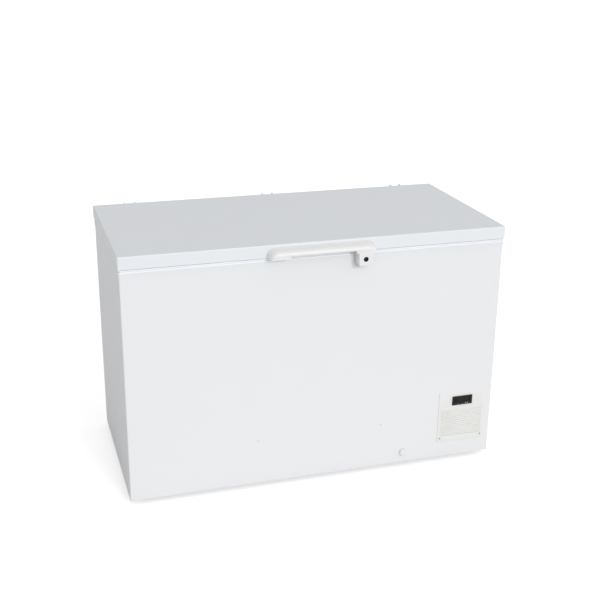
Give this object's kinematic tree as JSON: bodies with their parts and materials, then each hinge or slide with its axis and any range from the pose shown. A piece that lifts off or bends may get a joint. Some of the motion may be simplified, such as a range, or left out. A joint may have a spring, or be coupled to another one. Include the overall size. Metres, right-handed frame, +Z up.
{
  "type": "chest ultra low temperature freezer",
  "caption": "Wide white laboratory chest freezer with a top-hinged insulated lid, front handle with key lock, and a controller above an air grille at the lower right.",
  "frame": {"origin": "on the floor under the middle of the cabinet, halfway between the handle's front and the hinges' back", "axes": "+Z up, the front with the handle and the control panel faces -Y, the machine bay is at +X"},
  "size_m": [1.3, 0.702, 0.86],
  "materials": {
    "white_enamel": "smooth white enamel",
    "galvanised": "bare galvanised sheet",
    "tub_metal": "embossed aluminium sheet",
    "foam": "rigid polyurethane foam",
    "copper": "bare copper tube",
    "white_plastic": "moulded white plastic",
    "cream_plastic": "moulded warm white plastic",
    "seal": "soft white seal",
    "black_rubber": "black rubber",
    "black_plastic": "glossy black",
    "window": "smoked window",
    "key_plastic": "matt black",
    "hinge_steel": "zinc plated and painted steel",
    "pin_steel": "zinc plated steel",
    "spring_steel": "oiled spring steel",
    "lock_metal": "dark plated",
    "compressor_black": "black enamel",
    "fin_metal": "thin fin stock"
  },
  "bodies": {
    "root": {"cabinet_wrapper": "white_enamel", "back_panel": "white_enamel", "base_pan": "galvanised", "compressor_tray": "galvanised", "bay_shell": "galvanised", "inner_liner": "tub_metal", "evaporator_coil": "copper", "foam_body": "foam", "top_frame": "white_plastic", "feet": "black_rubber", "probe_cover": "white_plastic", "drain_tube": "white_plastic", "drain_escutcheon": "white_plastic", "lock_keeper": "pin_steel", "hinge_bodies": "hinge_steel", "hinge_pins": "pin_steel", "hinge_springs": "spring_steel", "control_panel": "cream_plastic", "controller_housing": "black_plastic", "controller_bezel": "black_plastic", "display_window": "window", "compressor": "compressor_black", "compressor_grommets": "black_rubber", "terminal_cover": "key_plastic", "condenser_tubes": "fin_metal", "condenser_fins": "fin_metal", "fan_shroud": "galvanised", "fan_motor": "pin_steel", "filter_drier": "copper", "discharge_line": "copper", "liquid_line": "copper", "capillary_tube": "copper", "suction_line": "copper", "electrical_box": "key_plastic", "rear_vent_cover": "white_enamel", "mains_inlet": "black_plastic"},
    "lid": {"lid_skin": "white_enamel", "lid_liner": "white_plastic", "lid_foam": "foam", "gasket": "seal", "handle": "white_plastic", "lock_housing": "white_plastic", "hinge_leaves": "hinge_steel", "hinge_rollers": "pin_steel"},
    "plungers": {"hinge_plungers": "pin_steel"},
    "lock": {"lock_cylinder": "lock_metal", "lock_cam": "pin_steel"},
    "outlet_cap": {"drain_cap": "white_plastic"},
    "floor_bung": {"drain_bung": "seal"},
    "fan": {"fan_blade": "key_plastic"},
    "key_left": {"key_1": "key_plastic"},
    "key_middle": {"key_2": "key_plastic"},
    "key_right": {"key_3": "key_plastic"}
  },
  "joints": [
    {"name": "lid_hinge", "type": "hinge", "parent": "root", "child": "lid", "pos_m": [0, 0.336, 0.842], "axis": [-1, 0, 0], "range_deg": [0, 80]},
    {"name": "plunger_lift", "type": "slide", "parent": "root", "child": "plungers", "axis": [0, 0, 1], "range_m": [0, 0.01546], "deforming": ["hinge_springs"]},
    {"name": "lock_turn", "type": "hinge", "parent": "lid", "child": "lock", "pos_m": [0.139, -0.3505, 0.798], "axis": [0, 1, 0], "range_deg": [0, 90]},
    {"name": "cap_pull", "type": "slide", "parent": "root", "child": "outlet_cap", "axis": [0, -1, 0], "range_m": [0, 0.03]},
    {"name": "bung_lift", "type": "slide", "parent": "root", "child": "floor_bung", "axis": [0, 0, 1], "range_m": [0, 0.04]},
    {"name": "fan_spin", "type": "hinge", "parent": "root", "child": "fan", "pos_m": [0.5, -0.25, 0.1095], "axis": [0, 1, 0], "continuous": true},
    {"name": "press_left", "type": "slide", "parent": "root", "child": "key_left", "axis": [0, 1, 0], "range_m": [0, 0.0006], "stiffness_N_per_m": 400},
    {"name": "press_middle", "type": "slide", "parent": "root", "child": "key_middle", "axis": [0, 1, 0], "range_m": [0, 0.0006], "stiffness_N_per_m": 400},
    {"name": "press_right", "type": "slide", "parent": "root", "child": "key_right", "axis": [0, 1, 0], "range_m": [0, 0.0006], "stiffness_N_per_m": 400}
  ],
  "couplings": [
    {"joint": "plunger_lift", "follows": "lid_hinge", "m_per_rad": 0.011049}
  ]
}
